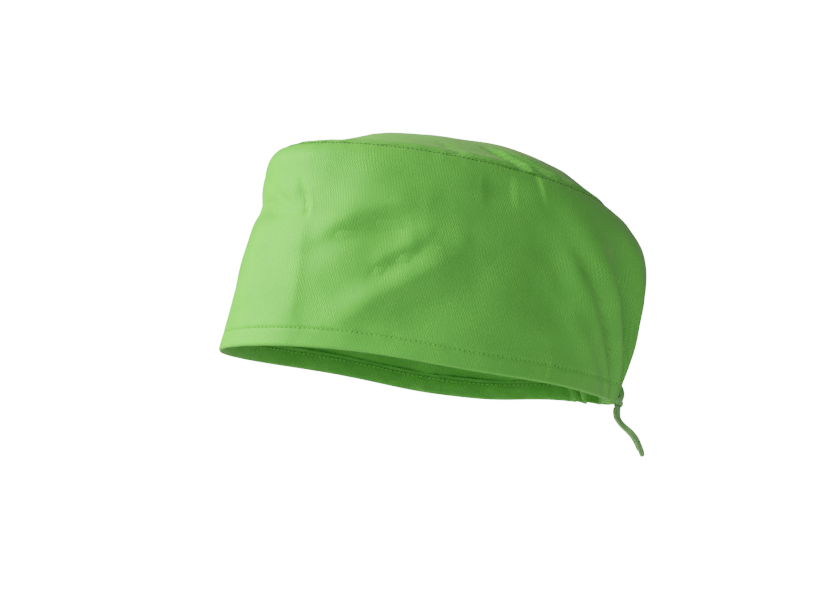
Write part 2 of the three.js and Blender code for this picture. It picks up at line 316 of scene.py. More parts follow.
def tape_rows(route, width, thickness, turns, swell):
    """Rings of a flat section along a route. turns gives the tape's turning in degrees and swell
    its relative size, each as (share of the length, value) pairs."""
    centre = smooth_route(route)
    along = np.gradient(centre, axis=0)
    along /= np.linalg.norm(along, axis=1, keepdims=True)
    run = np.concatenate([[0], np.cumsum(np.linalg.norm(np.diff(centre, axis=0), axis=1))])
    share = run / run[-1]
    turn = np.radians(np.interp(share, *zip(*turns)))
    size = np.interp(share, *zip(*swell))
    corner = np.linspace(0, 2 * np.pi, SECTION_POINTS, endpoint=False)
    flat_x = np.sign(np.cos(corner)) * np.abs(np.cos(corner)) ** SECTION_POWER * width / 2
    flat_y = np.sign(np.sin(corner)) * np.abs(np.sin(corner)) ** SECTION_POWER * thickness / 2
    dent = np.exp(-(flat_x / (SECTION_DENT[1] * width)) ** 2) * (np.sin(corner) > 0)
    flat_y -= SECTION_DENT[0] * thickness * dent
    side = np.cross(along[0], (0.0, 0.0, 1.0))
    side /= np.linalg.norm(side)
    rows = []
    for place, way, angle, scale in zip(centre, along, turn, size):
        side = side - way * side.dot(way)
        side /= np.linalg.norm(side)
        other = np.cross(way, side)
        x = (flat_x * np.cos(angle) - flat_y * np.sin(angle)) * scale
        y = (flat_x * np.sin(angle) + flat_y * np.cos(angle)) * scale
        rows.append(place + x[:, None] * side + y[:, None] * other)
    around = np.linspace(0, 2 * (width + thickness), SECTION_POINTS + 1)
    uv = np.stack(np.broadcast_arrays(around[None, :], run[:, None]), -1)
    return np.array(rows), uv, run[-1]


# %% The two ends, on the routes that the frame gives them
NEAR_END_ROUTE = [
    (1.8, 117.6, -15.6), (1.9, 117.0, -17.0), (2.0, 116.6, -18.6), (2.1, 116.6, -20.4),
    (2.1, 116.9, -22.3), (2.2, 117.8, -24.2), (2.3, 119.2, -26.0), (2.4, 120.9, -27.7),
    (2.4, 122.8, -29.2), (2.5, 124.6, -30.7), (2.5, 126.2, -32.4), (2.5, 127.7, -34.3),
    (2.5, 128.9, -36.4), (2.5, 129.8, -38.6), (2.5, 130.6, -40.8), (2.4, 131.3, -42.9),
    (2.3, 131.9, -44.8),
]
FAR_END_ROUTE = [
    (-1.8, 118.3, -15.6), (-2.1, 117.9, -17.1), (-2.5, 117.6, -18.8), (-3.0, 117.7, -20.6),
    (-3.5, 118.1, -22.4), (-4.0, 119.0, -24.2), (-4.5, 120.3, -25.9), (-4.9, 122.0, -27.5),
    (-5.3, 123.8, -29.0), (-5.6, 125.6, -30.6), (-5.9, 127.3, -32.4), (-6.1, 128.8, -34.5),
    (-6.2, 130.0, -36.7), (-6.3, 131.0, -39.0), (-6.3, 131.8, -41.3),
]
# The tape's relative size and its turning in degrees, by the share of its length
NEAR_SWELL = [(0, 1.05), (0.08, 1.35), (0.2, 1.4), (0.34, 1.08), (0.94, 1.0), (0.985, 0.8), (1, 0.3)]
FAR_SWELL = [(0, 0.9), (0.3, 0.9), (0.8, 0.75), (0.96, 0.6), (1, 0.2)]
NEAR_TURNS = [(0, 110), (0.25, 62), (0.5, 118), (0.75, 78), (1, 100)]
FAR_TURNS = [(0, -40), (0.35, -10), (0.7, 0), (1, 0)]


def tie_end(name, route, turns, swell):
    rows, uv, length = tape_rows(route, TIE_WIDTH, TIE_THICKNESS, turns, swell)
    end = shown(name, grid_mesh(name, rows, uv, caps=True), tie_weave)
    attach(end, "root")
    print(f"{name}: {length:.1f} mm long")
    return end


near_end = tie_end("tie_end_near_tape", NEAR_END_ROUTE, NEAR_TURNS, NEAR_SWELL)
far_end = tie_end("tie_end_far_tape", FAR_END_ROUTE, FAR_TURNS, FAR_SWELL)
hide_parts("tie_end_near")
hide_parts("tie_end_far")

# %% [markdown]
# ## The knot
#
# The tie comes out of the hem, passes over itself and is drawn tight. A lump would do from far
# off, but a knot shows its turns. Here the same tape follows a trefoil, which is the curve of an
# overhand knot, drawn up small, and a second strand runs down into it from the hem.

# %% Knot
KNOT_MIDDLE = np.array([0.2, 118.3, -12.6])
KNOT_REACH = np.array([1.05, 0.95, 0.95])
STRAND_ROUTE = [(-1.6, 116.6, -2.8), (0.2, 118.4, -4.4), (1.4, 119.2, -6.8),
                (2.2, 119.3, -9.4), (2.0, 118.6, -12.2), (1.6, 117.8, -15.0)]
KNOT_TAPE = (2.6, 1.9)          # width and thickness
STRAND_TAPE = (3.9, 2.3)
KNOT_POINTS = 28
KNOT_DEPTH = 1.3
STRAND_TURNS = [(0, 90), (0.5, 70), (1, 110)]
UNTURNED = [(0, 0), (1, 0)]
EVEN = [(0, 1.0), (1, 1.0)]


def trefoil(points):
    """The curve of an overhand knot, closed."""
    t = np.linspace(0, 2 * np.pi, points)
    curve = np.stack([np.sin(t) + 2 * np.sin(2 * t), -np.sin(3 * t) * KNOT_DEPTH,
                      np.cos(t) - 2 * np.cos(2 * t)], 1)
    return KNOT_MIDDLE + curve * KNOT_REACH


def joined(name, parts):
    """One mesh from several."""
    vertices, faces, uvs = [], [], []
    for mesh in parts:
        start = len(vertices)
        vertices += [tuple(v.co) for v in mesh.vertices]
        faces += [[start + i for i in p.vertices] for p in mesh.polygons]
        uvs += [tuple(d.uv) for d in mesh.uv_layers["cloth"].data]
    mesh = bpy.data.meshes.new(name)
    mesh.from_pydata(vertices, [], faces)
    mesh.uv_layers.new(name="cloth").data.foreach_set("uv", np.array(uvs, np.float32).reshape(-1))
    mesh.shade_smooth()
    return mesh


turn_rows, turn_uv, _ = tape_rows(trefoil(KNOT_POINTS), *KNOT_TAPE, UNTURNED, EVEN)
strand_rows, strand_uv, _ = tape_rows(STRAND_ROUTE, *STRAND_TAPE, STRAND_TURNS, EVEN)
knot = shown("tie_knot_turns", joined("tie_knot_turns", [
    grid_mesh("turns", turn_rows, turn_uv, caps=True),
    grid_mesh("strand", strand_rows, strand_uv, caps=True)]), tie_weave)
print("knot:", len(knot.data.polygons), "faces")
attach(knot, "root")
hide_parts("tie_knot")

# %% [markdown]
# ## The form of the cloth
#
# A cap on a head is a smooth tube that leans in at the shoulder, with folds where the cloth is
# slack. The tube could be sculpted, but a table of outlines is easier to check against the
# frame: at each share of its height it gives how far the wall stands to the front, the back and
# the side. Everything here is in millimetres, in the frame of the sloping rim.

# %% Outline of the wall
RIM_TILT = 7.5                  # degrees that the rim slopes down to the nape
WIDEST_Y = 18.0
OUTLINE = {                     # a power of 2 is an ellipse, and a higher one is squarer
    "share": (0.00, 0.12, 0.40, 0.62, 0.80, 0.93, 0.975, 1.00),
    "front": (114.5, 112.5, 109.0, 104.5, 101.5, 100.5, 98.0, 94.0),
    "back": (114.0, 118.0, 124.5, 127.0, 122.0, 110.0, 102.0, 97.0),
    "side": (78.5, 79.5, 80.0, 79.0, 76.5, 73.0, 71.0, 69.0),
    "front_power": (2.05, 2.10, 2.20, 2.25, 2.30, 2.40, 2.40, 2.40),
    "back_power": (2.00, 2.00, 2.10, 2.20, 2.30, 2.35, 2.35, 2.35),
}
SEAM = {"peak_y": -36.0, "peak": 118.5, "front_y": -94.0, "front": 117.0,
        "back_y": 96.0, "back": 106.0}
RIM_WAVES = [(2, 1.0, 45), (3, 0.7, 78), (4, 1.1, 38)]     # waves round, height, peak angle
RIM_SAG = {"angle": -123.0, "half": 16.0, "depth": 1.4}     # the right side hangs a little lower
DOME = {                        # how high the crown swells above its seam, from front to back
    "middle_y": -2.0, "power": 2.6,
    "y": (-95, -80, -70, -62, -55, -48, -39, -30, -21, -12, -2, 7, 16, 25, 34, 43, 53, 62, 71, 80, 95),
    "swell": (7.5, 7.5, 8.0, 10.6, 13.4, 15.7, 16.8, 16.9, 17.0, 17.5, 18.0, 18.9, 19.7, 20.3, 20.8, 21.6,
              22.5, 24.0, 23.0, 21.5, 20.0),
}


def rise(low, high, value):
    """0 below low, 1 above high and smooth between them."""
    t = np.clip((value - low) / (high - low), 0, 1)
    return t * t * (3 - 2 * t)


def outline_size(column, share):
    """One column of the outline table at any share, as a smooth curve through its rows."""
    places, sizes = np.array(OUTLINE["share"]), np.array(OUTLINE[column])
    rows = np.arange(len(places))
    before, after = np.maximum(rows - 1, 0), np.minimum(rows + 1, rows[-1])
    slopes = (sizes[after] - sizes[before]) / (places[after] - places[before])
    row = np.clip(np.searchsorted(places, share, side="right") - 1, 0, rows[-1] - 1)
    span = places[row + 1] - places[row]
    return cubic((share - places[row]) / span, sizes[row], sizes[row + 1],
                 span * slopes[row], span * slopes[row + 1])


def outline_point(angle, share, extra=0.0):
    """Where the wall is at an angle from the front. extra moves it outward."""
    sine, cosine = np.sin(angle), np.cos(angle)
    to_front = cosine > 0
    length = np.where(to_front, WIDEST_Y + outline_size("front", share),
                      outline_size("back", share) - WIDEST_Y)
    power = np.where(to_front, outline_size("front_power", share),
                     outline_size("back_power", share))
    across = np.abs(sine / outline_size("side", share)) ** power
    radius = (across + np.abs(cosine / length) ** power) ** (-1 / power) + extra
    return radius * sine, WIDEST_Y - radius * cosine


def seam_height(y):
    """Height of the crown seam, which bows up over the middle of the cap."""
    front = (y - SEAM["peak_y"]) / (SEAM["front_y"] - SEAM["peak_y"])
    back = (y - SEAM["peak_y"]) / (SEAM["back_y"] - SEAM["peak_y"])
    return SEAM["peak"] - np.where(y < SEAM["peak_y"], (SEAM["peak"] - SEAM["front"]) * front**2,
                                   (SEAM["peak"] - SEAM["back"]) * back**2)


def rim_height(angle):
    """How far the rim waves up and down about its sloping plane."""
    waved = sum(height * np.cos(waves * (angle - math.radians(peak)))
                for waves, height, peak in RIM_WAVES)
    off = (np.degrees(angle) - RIM_SAG["angle"] + 180) % 360 - 180
    return waved - RIM_SAG["depth"] * np.exp(-(off / RIM_SAG["half"]) ** 2)


def wall_height(angle):
    return seam_height(outline_point(angle, 1.0)[1]) - rim_height(angle)


# %% [markdown]
# ## Folds and gathers
#
# Slack cloth folds along lines. Each fold here is a line on the wall with a width and a depth:
# plus stands out and minus is a hollow. A cloth simulation could find folds by itself, but not
# these ones, and the photograph shows exactly where they lie. The gathers fan out from the knot,
# because the drawn tie shortens the rim there and not the cloth above it.

# %% Folds, by angle round the head and share of the height
FOLDS = {   # name: line of (angle, share), half widths to its left and to its right, height in mm
    "dent over the brow": ([(-12, 0.72), (20, 0.66)], 9, 9, -2.9),
    "pucker beside it": ([(22, 0.78), (26, 0.62)], 5, 5, -1.5),
    "swell under the seam": ([(2, 0.90), (28, 0.92)], 9, 9, 1.0),
    "front corner": ([(26.5, 0.04), (27.5, 0.30), (26.5, 0.62)], 12, 4.5, 1.3),
    "upper fold": ([(30, 0.50), (36, 0.585), (41, 0.645), (50, 0.70), (62, 0.74)], 11, 6, 2.4),
    "furrow under it": ([(33, 0.49), (38, 0.535), (46, 0.575), (59, 0.635)], 5.5, 9, -1.9),
    "short fold": ([(47, 0.40), (53, 0.47), (59, 0.52), (64, 0.575)], 8, 3.6, 1.5),
    "furrow of the short fold": ([(49, 0.365), (55, 0.43), (61, 0.485), (66, 0.54)], 3.2, 6, -1.0),
    "slanting fold": ([(41, 0.14), (50, 0.25), (58, 0.33), (66, 0.415), (74, 0.50), (77, 0.57)],
                      12, 6, 3.6),
    "hollow under it": ([(50, 0.11), (60, 0.20), (70, 0.29), (82, 0.38), (92, 0.50)], 9, 17, -2.6),
    "slack over the ear": ([(119, 0.22), (118, 0.55), (112, 0.80)], 40, 15, -5.6),
    "hollow at the seam": ([(82, 0.85), (99, 0.885)], 9, 10, -2.2),
    "right brow swell": ([(-28, 0.25), (-40, 0.60)], 19, 19, 1.5),
    "right long fold": ([(-56, 0.26), (-88, 0.55)], 10, 10, -3.0),
    "fold below it": ([(-70, 0.20), (-102, 0.34)], 9, 9, 2.2),
    "right slack": ([(-92, 0.44), (-110, 0.62)], 24, 18, -4.0),
    "right furrow": ([(-44, 0.74), (-58, 0.66), (-74, 0.68)], 7, 5, -1.7),
}
CREASES = {
    "sharp pucker": ([(21.5, 0.80), (22.4, 0.765), (24.3, 0.72), (26.8, 0.62)], 1.3, 1.5, -1.5),
    "lip of the pucker": ([(23.6, 0.79), (26.4, 0.72), (28.6, 0.63)], 1.6, 2.0, 0.7),
    "brow crease, upper": ([(-4, 0.87), (8, 0.80), (21, 0.67)], 2.0, 1.5, -0.8),
    "brow crease, lower": ([(5, 0.70), (14, 0.645), (22, 0.638)], 2.0, 1.5, -0.8),
}
MM_PER_DEGREE = 1.65            # round the wall, on average
WALL_LENGTH = 116.0
FOLD_LEFT = 0.35                # share of its height that a fold keeps at its two ends
FOLD_WHOLE = (0.3, 0.75)        # shares of its length between which it has all its height
FOLD_STEEPNESS = 1.5


def line_lift(table, degrees, share, length_up=WALL_LENGTH):
    """How far the folds of a table lift the cloth. A fold is lower toward both of its ends."""
    total = 0.0
    for line, left, right, height in table.values():
        places = np.array(line, float) * (MM_PER_DEGREE, length_up)
        steps = np.diff(places, axis=0)
        lengths = np.hypot(*steps.T)
        starts = np.concatenate([[0], np.cumsum(lengths)])
        nearest, at, side = np.inf, 0.0, 0.0
        for place, step, length, start in zip(places, steps, lengths, starts):
            x, z = degrees * MM_PER_DEGREE - place[0], share * length_up - place[1]
            along = np.clip((x * step[0] + z * step[1]) / length**2, 0, 1)
            off = np.hypot(x - along * step[0], z - along * step[1])
            closer = off < nearest
            at = np.where(closer, start + along * length, at)
            side = np.where(closer, step[0] * z - step[1] * x, side)
            nearest = np.where(closer, off, nearest)
        way = at / starts[-1]
        whole = rise(0.0, FOLD_WHOLE[0], way) * rise(1.0, FOLD_WHOLE[1], way)
        strength = FOLD_LEFT + (1 - FOLD_LEFT) * whole
        half = right + (left - right) * rise(-1, 1, side / starts[-1])
        total = total + height * strength * np.exp(-FOLD_STEEPNESS * (nearest / half) ** 2)
    return total


# %% Gathers, and the cloth surface
GATHERS = [     # place in the fan, half widths toward the nape and away from it, height in mm
    (0.50, 0.34, 0.34, -3.6), (1.50, 0.26, 0.27, -14.0), (2.42, 0.16, 0.20, -2.4),
    (1.13, 0.11, 0.09, 3.2), (2.02, 0.14, 0.24, 3.6), (2.70, 0.20, 0.24, 1.4), (3.4, 0.25, 0.3, 0.6),
]
FAN_AT_RIM = 9.0                # degrees round from one place in the fan to the next
FAN_GROWTH = 20.0               # degrees more at the seam
WAVE_SPREAD = (0.7, 1.5)        # of a random unevenness, about its typical length
FADE = {"rim": 0.42, "full": 0.2, "from": 0.5, "gone": 0.9}


def fan_place(degrees, share):
    """Which ridge a place lies on, counted out from the nape."""
    return (180 - np.abs(degrees)) / (FAN_AT_RIM + FAN_GROWTH * share)


def gather_lift(degrees, share):
    """How far the gathers lift the cloth. They grow above the rim and die out under the seam."""
    fan = fan_place(degrees, share)
    strength = FADE["rim"] + (1 - FADE["rim"]) * rise(0, FADE["full"], share)
    strength = strength * (1 - rise(FADE["from"], FADE["gone"], share))
    total = sum(height * np.exp(-((fan - place) / np.where(fan < place, near, far)) ** 2)
                for place, near, far, height in GATHERS)
    return strength * total


def wavy(points, wavelength, seed, waves=22):
    """A smooth random unevenness through space, with a typical size of 1."""
    random = np.random.default_rng(seed)
    ways = random.normal(size=(waves, 3))
    ways /= np.linalg.norm(ways, axis=1, keepdims=True)
    lengths = wavelength * random.uniform(*WAVE_SPREAD, waves)
    starts = random.uniform(0, 2 * np.pi, waves)
    total = sum(np.sin(points @ way * (2 * np.pi / length) + start)
                for way, length, start in zip(ways, lengths, starts))
    return total / math.sqrt(waves / 2)


def cloth_points(angle, share):
    """Points of the outer face of the wall."""
    degrees = (np.degrees(angle) + 180) % 360 - 180
    lift = line_lift(FOLDS, degrees, share) + line_lift(CREASES, degrees, share)
    x, y = outline_point(angle, share, lift + gather_lift(degrees, share))
    return np.stack(np.broadcast_arrays(x, y, rim_height(angle) + wall_height(angle) * share), -1)


def outward(grid):
    """Outward directions of a grid whose rows go up and whose columns go round."""
    round_way = np.roll(grid, -1, 1) - np.roll(grid, 1, 1)
    up = np.gradient(grid, axis=0)
    normal = np.cross(round_way, up)
    return normal / np.linalg.norm(normal, axis=-1, keepdims=True)


def lifted(grid, amount):
    """The grid, moved along its outward directions."""
    return grid + np.broadcast_to(amount, grid.shape[:2])[..., None] * outward(grid)


def run_along(grid, axis):
    """How far each point is along its row (axis 1) or its column (axis 0)."""
    steps = np.linalg.norm(np.diff(grid, axis=axis), axis=-1)
    start = np.zeros_like(np.take(steps, [0], axis=axis))
    return np.concatenate([start, np.cumsum(steps, axis=axis)], axis=axis)


tilt = math.radians(RIM_TILT)
TILTED = np.array([[1, 0, 0], [0, math.cos(tilt), math.sin(tilt)], [0, -math.sin(tilt), math.cos(tilt)]])


def in_part_frame(grid):
    """From the frame of the sloping rim to the frame of the whole cap."""
    return grid @ TILTED.T


# %% [markdown]
# ## The side band
#
# The band is one long strip whose lower edge is turned up inside. Its wall is a grid with 660
# columns, which is fine enough for the small puckers that a row of stitches draws up. Rows are
# crowded at the hem line and at the crown seam, where the cloth changes within a millimetre or
# two. A flat strip could be bent round with modifiers, but then each fold would need its own. The
# inner face is the outer one moved in by the thickness of the cloth.

# %% Rows and columns
COLUMNS = 660
CLOTH_THICKNESS = 0.6
HEM_HEIGHT = 10.3
HEM_ROWS = 12
WALL_ROWS = 90
CROWDING = 5
CROWD_REACH = (0.05, 0.07)      # share of the height at each end in which the rows crowd
CROWD_STEPS = 400
FOLD_RADIUS = 0.9               # of the hem's folded edge
HEM_DROP = (2.8, 11)            # mm and degrees by which the casing narrows toward the knot

angles = (np.arange(COLUMNS) / COLUMNS * 2 - 1) * np.pi
degrees_round = np.degrees(angles)


def hem_line(angle_degrees):
    """Height of the hem's stitches above the rim, which drops where the casing ends."""
    return HEM_HEIGHT - HEM_DROP[0] * np.exp(-((180 - np.abs(angle_degrees)) / HEM_DROP[1]) ** 2)


def crowded(count, low_end, high_end):
    """Shares from 0 to 1, closer together at the ends that have a plus number."""
    t = np.linspace(0, 1, CROWD_STEPS)
    closeness = (1 + low_end * np.exp(-(t / CROWD_REACH[0]) ** 2)
                 + high_end * np.exp(-((1 - t) / CROWD_REACH[1]) ** 2))
    run = np.concatenate([[0], np.cumsum((closeness[1:] + closeness[:-1]) / 2)])
    return np.interp(np.linspace(0, 1, count), run / run[-1], t)


hem_shares = crowded(HEM_ROWS, 0, 0)
hem_rise = hem_shares[:, None] * hem_line(degrees_round)
rest = wall_height(angles) - hem_line(degrees_round)
wall_rise = hem_line(degrees_round) + crowded(WALL_ROWS, CROWDING, CROWDING)[1:, None] * rest
height = np.concatenate([hem_rise, wall_rise])
share = height / wall_height(angles)
angle_grid = np.broadcast_to(angles, height.shape)
band = cloth_points(angle_grid, share)
print("band grid:", band.shape)

# %% [markdown]
# ### Seams pull the cloth
#
# A line of stitches shortens the cloth a little, so small ripples stand on both sides of it and
# die out within a centimetre. The same helper makes the shallow groove in which the stitches
# lie. Both are added along the cloth's own outward direction.

# %% Ripples and grooves
SEAM_GROOVE = (0.45, 0.6)       # depth and half width in mm
STITCH_GROOVE = (0.28, 0.7)
STITCH_LINE = 1.4               # mm from the crown seam to its topstitching
HEM_GROOVE = (0.40, 0.8)
UNEVEN = (0.45, 34, 3)          # height and size in mm, and seed
NAPE = (35, 5)                  # degrees from the nape at which its puckers start and are whole
RIPPLE_STRETCH = (1, 1, 0.12)   # puckers run upward from a seam
SEAM_RIPPLES = (9, 0.10, 5, 11)         # pitch, depth and reach in mm, and seed
HEM_RIPPLES = (7, 0.06, 3, 12)
NAPE_RIPPLES = (8, 0.5, 14, 13)
CROWN_RIPPLES = (11, 0.12, 7, 32)


def ripples(points, off, pitch, depth, reach, seed):
    """Small puckers across a seam. off is the distance from it."""
    return depth * wavy(points * RIPPLE_STRETCH, pitch, seed) * np.exp(-(off / reach) ** 2)


def groove(off, size):
    """A shallow groove, from its depth and half width."""
    return -size[0] * np.exp(-(off / size[1]) ** 2)


up_run = run_along(band, 0)
from_seam = up_run[-1] - up_run
from_hem = height - hem_line(degrees_round)
below_fold = np.clip(FOLD_RADIUS - height, 0, None)
fold_in = FOLD_RADIUS - np.sqrt(np.clip(FOLD_RADIUS**2 - below_fold**2, 0, None))
uneven = UNEVEN[0] * wavy(band, *UNEVEN[1:]) * rise(2, 25, from_seam) * rise(0, 30, height)
nape = rise(*NAPE, 180 - np.abs(degrees_round))
lift = (uneven + groove(from_seam, SEAM_GROOVE) + groove(from_seam - STITCH_LINE, STITCH_GROOVE)
        + groove(from_hem, HEM_GROOVE) - fold_in
        + ripples(band, from_seam - STITCH_LINE, *SEAM_RIPPLES)
        + ripples(band, from_hem, *HEM_RIPPLES)
        + nape * ripples(band, from_hem, *NAPE_RIPPLES))
band = lifted(band, lift)
print(f"relief of the band: {lift.min():.2f} to {lift.max():.2f} mm")

# %% Band mesh
INNER_ROWS_EVERY = 5            # the inner face keeps one row in five


def closed_cloth(name, outer, thickness, uv, material):
    """A sheet with two faces."""
    keep = sorted({*range(0, len(outer), INNER_ROWS_EVERY), len(outer) - 1}, reverse=True)
    inner = lifted(outer, -thickness)[keep]
    rows = in_part_frame(np.concatenate([outer, inner]))
    return shown(name, grid_mesh(name, rows, np.concatenate([uv, uv[keep]])), material)


round_run = run_along(np.concatenate([band, band[:, :1]], 1), 1)[len(band) // 2]
up_again = np.concatenate([up_run, up_run[:, :1]], 1)
band_uv = np.stack(np.broadcast_arrays(round_run[None, :], up_again), -1)
side_band = closed_cloth("side_band_cloth", band, CLOTH_THICKNESS, band_uv, cap_twill)
print("side band:", len(side_band.data.polygons), "faces")

# %% [markdown]
# ## The hem, seen inside
#
# The turned-up edge makes a tunnel for the tie. From outside only its stitches show, but the far
# side of the cap shows its inner layer. A plain thicker rim would look like felt, so it is a ring
# with a soft section: round at the fold, full in the middle and pressed flat at the stitches.

# %% Hem
HEM_SECTION = [     # share of the hem's height, depth inward in mm
    (0.00, 0.75), (0.01, 1.05), (0.05, 1.35), (0.13, 1.6), (0.28, 1.8), (0.50, 1.85), (0.72, 1.75),
    (0.88, 1.45), (0.96, 1.15), (1.04, 1.2), (1.14, 1.25), (1.18, 1.0), (1.14, 0.7), (0.9, 0.65),
    (0.5, 0.65), (0.1, 0.65),
]
HEM_UNEVEN = (0.12, 9, 21)      # height and size in mm, and seed
HEM_INNER_LAYER = 1.0           # mm of depth beyond which a point is on the inner layer
hem_up = np.array([row[0] for row in HEM_SECTION])[:, None] * hem_line(degrees_round)
hem_depth = np.array([row[1] for row in HEM_SECTION])[:, None]
hem_base = cloth_points(np.broadcast_to(angles, hem_up.shape), hem_up / wall_height(angles))
wall_slice = cloth_points(np.broadcast_to(angles, (3, COLUMNS)),
                          np.array([0.0, 0.5, 1.0])[:, None] * HEM_HEIGHT / wall_height(angles))
hem_out = outward(wall_slice)[1]
hem_grid = hem_base - hem_depth[..., None] * hem_out
hem_waves = HEM_UNEVEN[0] * wavy(hem_base, *HEM_UNEVEN[1:]) * (hem_depth > HEM_INNER_LAYER)
hem_grid -= hem_waves[..., None] * hem_out
hem_run = run_along(hem_grid, 0)
hem_run = np.concatenate([hem_run, hem_run[:, :1]], 1)
hem_uv = np.stack(np.broadcast_arrays(round_run[None, :], hem_run), -1)
hem = shown("hem_casing", grid_mesh("hem_casing", in_part_frame(hem_grid)[::-1], hem_uv[::-1]), cap_twill)
print("hem:", len(hem.data.polygons), "faces")

# %% [markdown]
# ## The top panel
#
# The crown is an oval of cloth, slack at the back. A squashed ball would do from far off, but its
# rows wouldn't meet the band's at the seam. So it is a grid too: rings that shrink from the seam
# to the middle, where a last small ring is closed by a cap. Its edge dips into the seam.

# %% Top panel
DOME_RINGS = 54
LAST_RING = 0.985               # share of the way to the middle that the rings cover
UNDER_RINGS_EVERY = 3           # the under face keeps one ring in three
PUFF = (0.7, 4.0, 3.0)          # the cloth swells beside the seam: height, distance and width
SLACK = (0.3, 45, 31)           # height and size in mm, and seed
DOME_LENGTH = 80.0              # from the middle to the seam
TOP_CREASES = {     # angle and share of the way from the middle to the seam
    "first dent": ([(88, 0.76), (96, 0.88), (103, 1.0)], 4, 3, -1.8),
    "fold behind it": ([(94, 0.74), (101, 0.87), (108, 1.0)], 3.0, 2.5, 1.4),
    "second dent": ([(99, 0.74), (107, 0.87), (115, 1.0)], 3, 2.6, -1.8),
    "second fold": ([(107, 0.76), (114, 0.88), (121, 1.0)], 2.6, 2.4, 1.0),
    "third dent": ([(113, 0.78), (120, 0.9), (127, 1.0)], 3, 3, -1.2),
    "front dent": ([(62, 0.84), (68, 0.92), (74, 1.0)], 5, 4, -0.8),
    "right dent": ([(-96, 0.74), (-104, 0.88), (-112, 1.0)], 4, 4, -1.5),
    "right fold": ([(-84, 0.76), (-90, 0.88), (-96, 1.0)], 4, 4, 1.0),
}


def dome_points(angle, share):
    """Points of the crown, by angle and share of the way from its middle to the seam."""
    seam_x, seam_y = outline_point(angle, 1.0)
    y = DOME["middle_y"] + (seam_y - DOME["middle_y"]) * share
    swell = np.interp(y, DOME["y"], DOME["swell"])
    return np.stack([seam_x * share, y, seam_height(y) + swell * (1 - share ** DOME["power"])], -1)


ring_shares = 1 - crowded(DOME_RINGS, CROWDING, 0) * LAST_RING
dome = dome_points(np.broadcast_to(angles, (DOME_RINGS, COLUMNS)), ring_shares[:, None])
in_run = run_along(dome, 0)
dome_lift = (groove(in_run, SEAM_GROOVE) + SLACK[0] * wavy(dome, *SLACK[1:]) * rise(3, 30, in_run)
             + PUFF[0] * np.exp(-((in_run - PUFF[1]) / PUFF[2]) ** 2)
             + line_lift(TOP_CREASES, degrees_round, ring_shares[:, None], DOME_LENGTH)
             + ripples(dome, in_run, *CROWN_RIPPLES))
dome = lifted(dome, dome_lift)
dome_uv = np.concatenate([dome, dome[:, :1]], 1)[..., :2]
print("top panel grid:", dome.shape)

# %% Top panel mesh
under = lifted(dome, -CLOTH_THICKNESS)[::-UNDER_RINGS_EVERY]
top_rows = in_part_frame(np.concatenate([under, dome]))
top_uv = np.concatenate([dome_uv[::-UNDER_RINGS_EVERY], dome_uv])
top_panel = shown("top_panel_cloth", grid_mesh("top_panel_cloth", top_rows, top_uv, caps=True), cap_twill)
print("top panel:", len(top_panel.data.polygons), "faces")

# %% [markdown]
# ## Stitches
#
# A stitch is a short arch of thread between two needle holes. There are hundreds, all alike and
# all on a line, which is what Geometry Nodes are for: the line is cut into steps of one stitch,
# an arch is put on each step and turned along the line and away from the cloth. A fixed seed
# turns and sizes each one a little differently, as a machine does on soft cloth. The same tree
# puts short stitches that sink in between them, coloured almost black: painted shade at the
# needle holes.

# %% The tree's inputs and one stitch
SEWING_INPUTS = {
    "Line": "Geometry", "Pitch": "Float", "Stitch Length": "Float", "Thread Radius": "Float",
    "Arch": "Float", "Shift": "Float", "Seed": "Int", "Thread": "Material",
}
STITCH_STEPS = 6
THREAD_SIDES = 6
STITCH_SWING = 0.10             # radians to either side
STITCH_SIZES = (0.88, 1.08)


def sewing_sockets(tree):
    """Adds the tree's inputs and its output. Returns the identifier of each input."""
    new_socket = tree.interface.new_socket
    new_socket("Stitches", in_out="OUTPUT", socket_type="NodeSocketGeometry")
    return {name: new_socket(name, in_out="INPUT", socket_type="NodeSocket" + kind).identifier
            for name, kind in SEWING_INPUTS.items()}


def one_stitch(tree, given):
    """An arch of thread with closed ends, moved along the line by the shift."""
    half = added(tree, "ShaderNodeMath", {1: 0.5}, operation="MULTIPLY")
    back = added(tree, "ShaderNodeMath", {1: -0.5}, operation="MULTIPLY")
    start, middle, end, shift = [added(tree, "ShaderNodeCombineXYZ") for _ in range(4)]
    arch = added(tree, "GeometryNodeCurveQuadraticBezier", {"Resolution": STITCH_STEPS})
    outline = added(tree, "GeometryNodeCurvePrimitiveCircle", {"Resolution": THREAD_SIDES})
    thread = added(tree, "GeometryNodeCurveToMesh", {"Fill Caps": True})
    moved = added(tree, "GeometryNodeTransform")
    links(tree, (given["Stitch Length"], half.inputs[0]), (given["Stitch Length"], back.inputs[0]),
          (back.outputs[0], start.inputs["X"]), (half.outputs[0], end.inputs["X"]),
          (given["Arch"], middle.inputs["Z"]), (given["Shift"], shift.inputs["X"]),
          (start.outputs[0], arch.inputs["Start"]), (middle.outputs[0], arch.inputs["Middle"]),
          (end.outputs[0], arch.inputs["End"]), (given["Thread Radius"], outline.inputs["Radius"]),
          (arch.outputs[0], thread.inputs["Curve"]),
          (outline.outputs["Curve"], thread.inputs["Profile Curve"]),
          (thread.outputs[0], moved.inputs["Geometry"]), (shift.outputs[0], moved.inputs["Translation"]))
    return moved.outputs[0]


